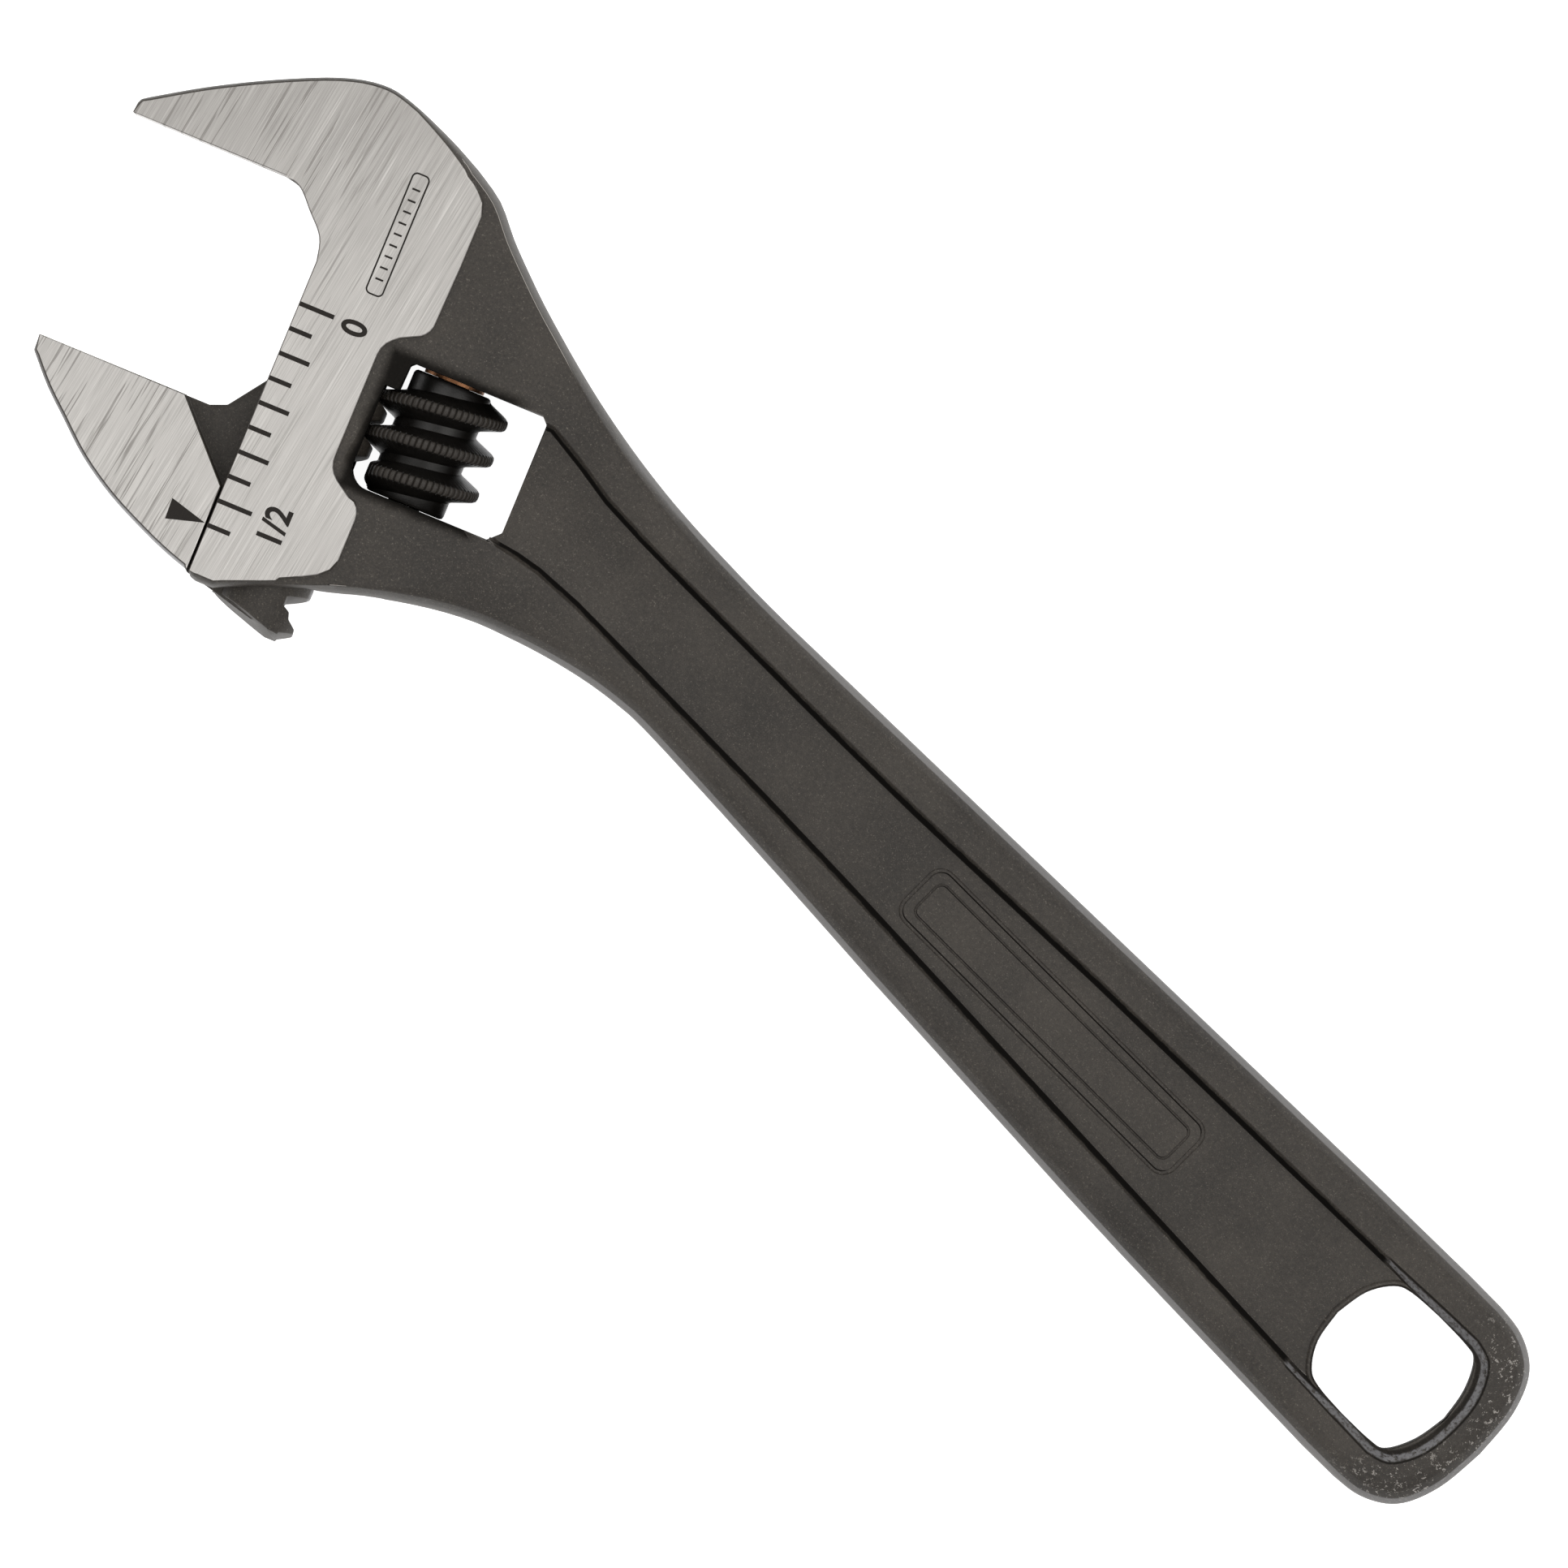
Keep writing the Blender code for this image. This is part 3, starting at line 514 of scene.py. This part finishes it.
def softened(node, wide_at, sharp=24):
    """A copy of a node's mesh with every corner rounded, more so where wide_at(point, edge) says."""
    bm = bmesh.new()
    bm.from_mesh(frame["nodes"][node].data)
    bmesh.ops.remove_doubles(bm, verts=bm.verts, dist=2e-6)
    bmesh.ops.dissolve_limit(bm, angle_limit=math.radians(0.4), verts=bm.verts, edges=bm.edges)
    groups = {}
    for edge in bm.edges:
        if len(edge.link_faces) != 2 or edge.calc_face_angle(0.0) < math.radians(sharp):
            continue
        middle = (edge.verts[0].co + edge.verts[1].co) / 2
        groups.setdefault(wide_at(middle / MM, edge) or CORNER_R, []).append(edge)
    for radius in sorted(groups, reverse=True):
        edges = [e for e in groups[radius] if e.is_valid]
        segments = 4 if radius > CORNER_R else 2
        bmesh.ops.bevel(
            bm, geom=edges, offset=radius * MM, offset_type="OFFSET", segments=segments,
            profile=0.5, affect="EDGES", clamp_overlap=False,
        )
    bmesh.ops.triangulate(bm, faces=[f for f in bm.faces if len(f.verts) > 4])
    mesh = bpy.data.meshes.new(node)
    bm.to_mesh(mesh)
    bm.free()
    return mesh


def thread_half_width(radius):
    """Half the thread's width along the axis, at a radius."""
    return CREST_FLAT / 2 + (CREST_R - radius) * math.tan(FLANK)


def rings_mesh(name, rings, closed=False):
    """A mesh through rings of points in millimetres, about the screw's middle, its ends capped."""
    points = [p for ring in rings for p in ring]
    size = len(rings[0])
    faces = []
    last = len(rings) if closed else len(rings) - 1
    for i in range(last):
        a, b = i * size, (i + 1) % len(rings) * size
        for k in range(size):
            n = (k + 1) % size
            faces.append((a + k, a + n, b + n, b + k))
    if not closed:
        faces.append(tuple(reversed(range(size))))
        faces.append(tuple(range((len(rings) - 1) * size, len(rings) * size)))
    turn = Matrix.Rotation(HEAD_TILT, 4, "Z")
    placed = [turn @ Vector(p) * MM + SCREW_AT * MM for p in points]
    mesh = bpy.data.meshes.new(name)
    mesh.from_pydata(placed, [], faces)
    bm = bmesh.new()
    bm.from_mesh(mesh)
    bmesh.ops.recalc_face_normals(bm, faces=bm.faces)
    bm.to_mesh(mesh)
    bm.free()
    return mesh


def screw_thread():
    """One right-hand thread, its crest cut with grip grooves across its whole width."""
    top = SCREW_LENGTH / 2
    limit = top - 0.03
    inner = HUB_R - 0.3
    upper = SCREW_V + top
    end = 2 * math.pi * (upper - 0.9 - LOWEST_CREST_V) / LEAD
    per_groove = 8
    step = 2 * math.pi / GROOVES / per_groove
    steps = int((end - THREAD_START) / step)
    corner = 0.10
    root = HUB_R + 0.16
    rings = []
    for i in range(steps + 1):
        a = THREAD_START + step * i
        middle = LOWEST_CREST_V - SCREW_V + LEAD * a / (2 * math.pi)
        run_out = min(1.0, (a - THREAD_START + 0.05) / 0.9, (end - a + 0.05) / 0.9)
        full = HUB_R + 0.08 + (CREST_R - HUB_R - 0.08) * math.sin(run_out * math.pi / 2)
        phase = (i % per_groove) / per_groove
        crest = full - max(0.0, math.cos(2 * math.pi * phase)) ** 3 * GROOVE_DEPTH * run_out
        flat = thread_half_width(full)
        profile = [(inner, thread_half_width(inner) + 0.10), (HUB_R - 0.02, thread_half_width(HUB_R) + 0.10)]
        profile += [(root, thread_half_width(root) + 0.01), (full - 0.18, thread_half_width(full - 0.18))]
        profile += [(crest - corner, flat + 0.005), (crest - corner * 0.3, flat - corner * 0.5)]
        profile += [(crest, flat - corner * 1.6), (crest + 0.012 * run_out, flat * 0.35)]
        both = [(r, -w) for r, w in profile] + [(r, w) for r, w in reversed(profile)]
        ring = []
        for r, w in both:
            height = min(max(middle + w, -limit), limit)
            ring.append((r * math.sin(a), height, r * math.cos(a)))
        rings.append(ring)
    return rings_mesh("screw_thread", rings)


def screw_hub():
    """The hub under the thread, bored for the pin and counterbored for the spring."""
    top = SCREW_LENGTH / 2
    foot = -top - 0.1
    profile = [(1.06, top - 0.08), (1.06, -top + 3.3), (1.72, -top + 3.3), (1.72, foot + 0.05)]
    profile += [(1.80, foot), (HUB_R - 0.22, foot), (HUB_R - 0.06, foot + 0.06), (HUB_R, foot + 0.22)]
    profile += [(HUB_R, top - 0.24), (HUB_R - 0.06, top - 0.08), (HUB_R - 0.2, top), (1.14, top)]
    rings = []
    steps = 128
    for k in range(steps):
        a = 2 * math.pi * k / steps
        rings.append([(r * math.sin(a), v, r * math.cos(a)) for r, v in profile])
    return rings_mesh("screw_hub", rings, closed=True)


def slab(name, outline, low, high):
    """A thin plate over an outline whose points are given as functions of height."""
    count = len(outline)
    points = [p(low) for p in outline] + [p(high) for p in outline]
    faces = [tuple(range(count, 2 * count)), tuple(reversed(range(count)))]
    faces += [(i, (i + 1) % count, count + (i + 1) % count, count + i) for i in range(count)]
    mesh = bpy.data.meshes.new(name)
    mesh.from_pydata(points, [], faces)
    return mesh


def joined(name, meshes):
    """One mesh out of several."""
    bm = bmesh.new()
    for mesh in meshes:
        bm.from_mesh(mesh)
        bpy.data.meshes.remove(mesh)
    bmesh.ops.recalc_face_normals(bm, faces=bm.faces)
    mesh = bpy.data.meshes.new(name)
    bm.to_mesh(mesh)
    bm.free()
    return mesh


def head_plate(name, corners):
    """A flat etched mark on the head's face, its corners given as (u, v)."""
    outline = [lambda z, u=u, v=v: head_point(u, v, z) for u, v in corners]
    return slab(name, outline, FACE_Z - INK_DEEP, FACE_Z + INK_PROUD)


def ticks():
    """The scale's divisions: longest at 0 and 1/2, shortest at the odd sixteenths."""
    marks = []
    h = TICK_WIDTH / 2
    for k in range(TICKS):
        v = ZERO_V - DIVISION * k
        end = 2.26 if k == 0 else 2.22 if k == 8 else 1.98 if k % 2 == 0 else 1.47
        marks.append(head_plate("tick", [(0.05, v - h), (end, v - h), (end, v + h), (0.05, v + h)]))
    return marks


def figure(text, u, v, size=FIGURE_SIZE, squeeze=0.86):
    """A number read along +v with its top towards -u, its lower left corner at u, v."""
    curve = bpy.data.curves.new("figure", "FONT")
    curve.body = text
    curve.size = size * MM
    curve.extrude = (INK_PROUD + INK_DEEP) / 2 * MM
    curve.offset = 0.024 * size * MM
    curve.resolution_u = 6
    maker = bpy.data.objects.new("figure", curve)
    bpy.context.scene.collection.objects.link(maker)
    bpy.context.view_layer.update()
    mesh = bpy.data.meshes.new_from_object(maker.evaluated_get(bpy.context.evaluated_depsgraph_get()))
    bpy.data.objects.remove(maker)
    base = head_point(u, v, FACE_Z + (INK_PROUD - INK_DEEP) / 2)
    columns = [V_WAY * squeeze, -U_WAY, Vector((0, 0, 1))]
    turn = Matrix([[c[r] for c in columns] for r in range(3)]).to_4x4()
    mesh.transform(Matrix.Translation(base) @ turn)
    return mesh


def oblong(half_long, half_wide, corner, steps=6):
    """A rounded oblong about the origin, anticlockwise."""
    out = []
    for k, (sx, sy) in enumerate(((1, -1), (1, 1), (-1, 1), (-1, -1))):
        for i in range(steps + 1):
            a = math.radians(-90 + 90 * k + 90 * i / steps)
            x = sx * (half_long - corner) + corner * math.cos(a)
            y = sy * (half_wide - corner) + corner * math.sin(a)
            out.append((x, y))
    return out


def bead(path, profile, point):
    """A closed bead: profile gives (offset outwards, height) across it, point places (x, y, z)."""
    count = len(path)
    points = []
    for i, p in enumerate(path):
        before, after = Vector(path[i - 1]), Vector(path[(i + 1) % count])
        way = (after - before).normalized()
        for out, z in profile:
            points.append(point(p[0] + way.y * out, p[1] - way.x * out, z))
    size = len(profile)
    faces = []
    for i in range(count):
        n = (i + 1) % count
        for k in range(size):
            m = (k + 1) % size
            faces.append((i * size + k, n * size + k, n * size + m, i * size + m))
    mesh = bpy.data.meshes.new("bead")
    mesh.from_pydata(points, [], faces)
    return mesh


def head_badge():
    """A plain etched oblong with a row of short bars, up the middle of the head."""
    middle_u, middle_v = HEAD_MARK_MID

    def point(x, y, z):
        return head_point(middle_u - y, middle_v + x, z)

    low, high = FACE_Z - INK_DEEP, FACE_Z + INK_PROUD
    line = [(-LINE_HALF, low), (LINE_HALF, low), (LINE_HALF, high), (-LINE_HALF, high)]
    marks = [bead(oblong(*HEAD_MARK_HALF, 0.30), line, point)]
    across, along = BAR_HALF
    for k in range(BARS):
        x = BAR_PITCH * (k - (BARS - 1) / 2)
        outline = [(x - across, -along), (x + across, -along), (x + across, along), (x - across, along)]
        marks.append(slab("bar", [lambda z, x=x, y=y: point(x, y, z) for x, y in outline], low, high))
    return marks


def hole_lip():
    """The raised lip that the forging leaves along the hanging hole's near side."""
    edge = []
    for vert in frame["nodes"]["body"].data.vertices:
        x, y, z = vert.co / MM
        x, y = x - HOLE_X, y - HANDLE_MID_Y
        if abs(z - PANEL_Z) < 0.03 and x < -1.6 and abs(y) < 4.2 and math.hypot(x, y) < HOLE_REACH:
            edge.append((math.atan2(y, -x), x, y))
    path = [(x, y) for _, x, y in sorted(edge)]
    profile = [(0.03, -0.05), (0.06, 0.06), (0.14, 0.12), (0.24, 0.12), (0.36, 0.05), (0.44, -0.05)]
    points = []
    for i, (x, y) in enumerate(path):
        out = Vector((x, y)).normalized()
        taper = min(1.0, 0.25 + min(i, len(path) - 1 - i) / 3)
        for away, z in profile:
            z = z * taper if z > 0 else z
            points.append((HOLE_X + x + out.x * away, HANDLE_MID_Y + y + out.y * away, PANEL_Z + z))
    size = len(profile)
    faces = [tuple(range(size)), tuple(reversed(range(len(points) - size, len(points))))]
    for i in range(len(path) - 1):
        for k in range(size):
            m = (k + 1) % size
            faces.append((i * size + k, i * size + m, (i + 1) * size + m, (i + 1) * size + k))
    mesh = bpy.data.meshes.new("hole_lip")
    mesh.from_pydata([Vector(p) * MM for p in points], [], faces)
    return mesh


def panel_badge():
    """A plain raised oblong in the handle's panel, one bead inside another, and the hole's lip."""

    def point(x, y, z):
        return handle_point(PANEL_MARK_MID[0] + x, PANEL_MARK_MID[1] + y, PANEL_Z + z)

    def arch(width, height):
        side = [(width * 0.6, height * 0.75), (width, -0.05)]
        return [(-x, z) for x, z in reversed(side)] + [(0.0, height)] + side

    half_long, half_wide = PANEL_MARK_HALF
    step_long, step_wide = PANEL_MARK_STEP
    outer = bead(oblong(half_long, half_wide, 0.9, 8), arch(0.17, 0.075), point)
    inner = bead(oblong(half_long - step_long, half_wide - step_wide, 0.5, 8), arch(0.11, 0.05), point)
    return [outer, inner, hole_lip()]


# ---------------------------------------------------------------- building

forging_black = forged_finish("forging_black_and_ground", body_ground, body_wear_and_shade)
jaw_black = forged_finish("jaw_black_and_ground", jaw_ground, jaw_wear_and_shade)
screw_black = oiled_black("screw_oiled_black")
etch = etched("scale_etch")


def body_rounding(p, edge):
    """Radius of the rims that the forging rounds over: the window's and the hanging hole's near side."""
    u = (p - HEAD_AT).dot(U_WAY)
    v = (p - HEAD_AT).dot(V_WAY)
    if abs(edge.verts[0].co.z - edge.verts[1].co.z) > 0.05 * MM or abs(p.z - MID_Z) < 1.5:
        return None
    if 6.3 < u < 16.0 and -15.8 < v < -7.0 and not (u < 7.8 and v > -9.6):
        return WINDOW_RIM_R
    x, y = p.x - HOLE_X, p.y - HANDLE_MID_Y
    if math.hypot(x, y) < HOLE_REACH and x < -1.9:
        return HOLE_RIM_R
    return None


forged = softened("body", body_rounding)
jaw = softened("movable_jaw", lambda p, e: None)
piece_of("forged_body", forged, "wrench", forging_black, ["body"])
piece_of("ground_jaw", jaw, "sliding_jaw", jaw_black, ["movable_jaw"])
for name, mesh, smooth in (("grooved_thread", screw_thread(), 50), ("screw_hub", screw_hub(), 32)):
    piece_of(name, mesh, "adjusting_screw", screw_black, ["knurl"], smooth)

marks = ticks()
marks += [figure(text, u, v) for text, u, v in FIGURES]
marks += head_badge()
piece_of("scale_marks", joined("scale_marks", marks), "wrench", etch)
relief = joined("panel_mark", panel_badge())
piece_of("panel_relief", relief, "wrench", forging_black, smooth=60)
pointer = joined("pointer_mark", [head_plate("pointer", POINTER)])
piece_of("scale_pointer", pointer, "sliding_jaw", etch)

for node, material in (
    ("knurl_pin", turned_metal("pin_drawn_steel", (0.12, 0.117, 0.113), (0.34, 0.33, 0.32), 0.34)),
    ("knurl_spring", turned_metal("spring_drawn_wire", (0.14, 0.14, 0.14), (0.36, 0.36, 0.36), 0.3)),
    ("thrust_washer", turned_metal("washer_copper", (0.20, 0.085, 0.04), (0.62, 0.31, 0.16), 0.3)),
):
    mesh = frame["nodes"][node].data
    mesh.materials.clear()
    mesh.materials.append(material)

# ---------------------------------------------------------------- floor, light and camera


def stage_floor():
    """A plain white table just under the wrench."""
    bm = bmesh.new()
    bmesh.ops.create_grid(bm, x_segments=8, y_segments=8, size=1.5)
    mesh = bpy.data.meshes.new("table")
    bm.to_mesh(mesh)
    bm.free()
    floor = bpy.data.objects.new("table", mesh)
    floor.location.z = -0.00005
    bpy.context.scene.collection.objects.link(floor)
    f = Finish("table_white")
    f.set(Base_Color=(0.7, 0.7, 0.7), Roughness=0.9, Emission_Color=(1.0, 1.0, 1.0), Emission_Strength=0.95)
    mesh.materials.append(f.material)
    floor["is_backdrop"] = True


def softbox(name, place, aim, size, power, colour):
    light = bpy.data.lights.new(name, "AREA")
    light.shape = "RECTANGLE"
    light.size, light.size_y = size
    light.energy = power
    light.color = colour
    lamp = bpy.data.objects.new(name, light)
    lamp.location = place
    lamp.rotation_euler = (Vector(aim) - Vector(place)).to_track_quat("-Z", "Y").to_euler()
    bpy.context.scene.collection.objects.link(lamp)


def light_room():
    world = bpy.data.worlds.new("room")
    bpy.context.scene.world = world
    world.use_nodes = True
    nodes, links = world.node_tree.nodes, world.node_tree.links
    back = nodes["Background"]
    back.inputs["Color"].default_value = (1.0, 0.985, 0.965, 1.0)
    where = nodes.new("ShaderNodeTexCoord")
    parts = nodes.new("ShaderNodeSeparateXYZ")
    glow = nodes.new("ShaderNodeMapRange")
    glow.interpolation_type = "SMOOTHSTEP"
    for socket, value in zip(glow.inputs, (0.0, 0.05, 0.7, 0.5, 0.62)):
        socket.default_value = value
    links.new(where.outputs["Generated"], parts.inputs[0])
    links.new(parts.outputs["Z"], glow.inputs[0])
    links.new(glow.outputs[0], back.inputs["Strength"])
    softbox("soft_left", (-0.5, 0.3, 0.9), (0, 0, 0), (0.8, 0.8), 4.2, (1.0, 0.99, 0.97))
    softbox("soft_right", (0.45, 0.4, 0.9), (0, 0, 0), (0.7, 0.7), 3.0, (1.0, 0.98, 0.95))
    softbox("soft_low", (0.1, -0.6, 0.9), (0, 0, 0), (0.8, 0.5), 2.2, (1.0, 0.98, 0.96))


def place_camera():
    """Straight above, far off, with the wrench lying across the frame's diagonal."""
    view_width = 93.33 * MM
    data = bpy.data.cameras.new("camera")
    data.sensor_width = 36.0
    data.lens = 800.0
    data.clip_end = 20.0
    camera = bpy.data.objects.new("camera", data)
    distance = view_width * data.lens / data.sensor_width
    camera.location = (-0.00083, 0.00160, FACE_Z * MM + distance)
    camera.rotation_euler = (0.0, 0.0, math.radians(45))
    bpy.context.scene.collection.objects.link(camera)
    bpy.context.scene.camera = camera
    bpy.context.scene.view_settings.view_transform = "Standard"


stage_floor()
light_room()
place_camera()

[[list(corner) for corner in box] for box in (cad_box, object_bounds())]
